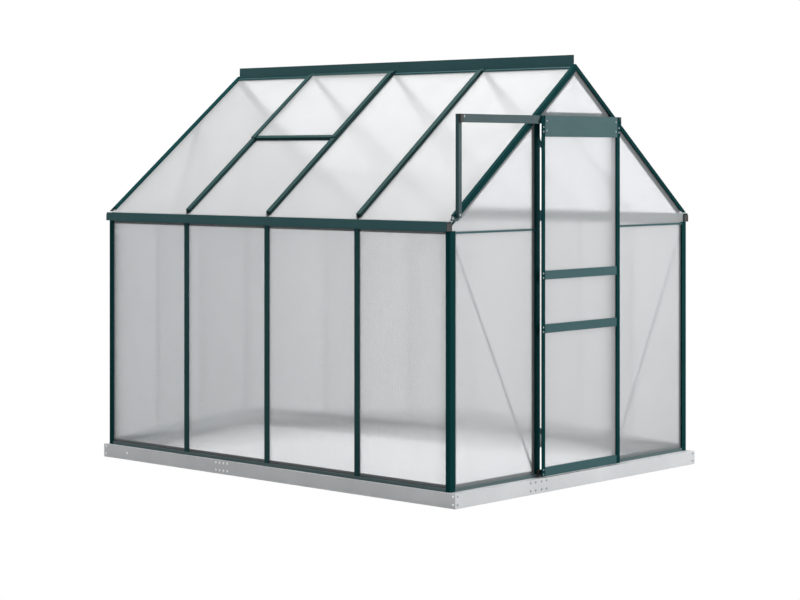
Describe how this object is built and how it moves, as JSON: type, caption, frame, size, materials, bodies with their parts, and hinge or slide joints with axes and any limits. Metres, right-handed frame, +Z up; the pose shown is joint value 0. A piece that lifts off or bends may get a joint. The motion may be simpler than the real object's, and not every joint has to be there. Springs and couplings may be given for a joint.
{
  "type": "polycarbonate greenhouse with a sliding door",
  "caption": "Small walk-in greenhouse: green aluminium frame, translucent twin-wall panels, gabled roof with a vent, sliding gable door and a folded steel base.",
  "frame": {"origin": "centre of the base's underside", "axes": "+Z up, +Y from the door gable to the back gable, +X to the right as seen from in front of the door"},
  "size_m": [1.952, 2.53, 2.1404],
  "materials": {
    "dark_green_aluminium": "satin powder coat",
    "green_aluminium": "satin powder coat",
    "galvanised_steel": "matt zinc",
    "twin_wall_polycarbonate": "translucent twin-wall sheet with upright flutes",
    "black_plastic": "moulded"
  },
  "bodies": {
    "greenhouse": {"base_left_rails": "galvanised_steel", "base_right_rails": "galvanised_steel", "base_front_rails": "galvanised_steel", "base_back_rails": "galvanised_steel", "base_joint_plates": "galvanised_steel", "side_sills": "green_aluminium", "gable_sills": "green_aluminium", "front_corner_posts": "dark_green_aluminium", "back_corner_posts": "dark_green_aluminium", "left_studs": "dark_green_aluminium", "right_studs": "dark_green_aluminium", "door_posts": "dark_green_aluminium", "back_posts": "dark_green_aluminium", "left_gutter": "green_aluminium", "right_gutter": "green_aluminium", "gutter_end_caps": "black_plastic", "front_tie_bars": "green_aluminium", "back_tie_bars": "green_aluminium", "front_rafters": "dark_green_aluminium", "back_rafters": "dark_green_aluminium", "left_roof_bars": "dark_green_aluminium", "right_roof_bars": "dark_green_aluminium", "ridge_beam": "green_aluminium", "gable_braces": "galvanised_steel", "vent_frame": "dark_green_aluminium", "vent_panel": "twin_wall_polycarbonate", "vent_sill_bar": "dark_green_aluminium", "left_wall_panels": "twin_wall_polycarbonate", "right_wall_panels": "twin_wall_polycarbonate", "left_roof_panels": "twin_wall_polycarbonate", "right_roof_panels": "twin_wall_polycarbonate", "front_gable_panels": "twin_wall_polycarbonate", "back_gable_panels": "twin_wall_polycarbonate", "door_track": "green_aluminium", "track_end_caps": "black_plastic", "track_support_post": "green_aluminium", "track_brackets": "green_aluminium", "door_guide": "black_plastic"},
    "door": {"door_stiles": "dark_green_aluminium", "door_rails": "green_aluminium", "door_top_rail": "green_aluminium", "door_panels": "twin_wall_polycarbonate", "door_hangers": "galvanised_steel", "door_wheels": "black_plastic", "door_corner_blocks": "black_plastic"}
  },
  "joints": [
    {"name": "door_slide", "type": "slide", "parent": "greenhouse", "child": "door", "axis": [-1, 0, 0], "range_m": [0, 0.6]}
  ]
}
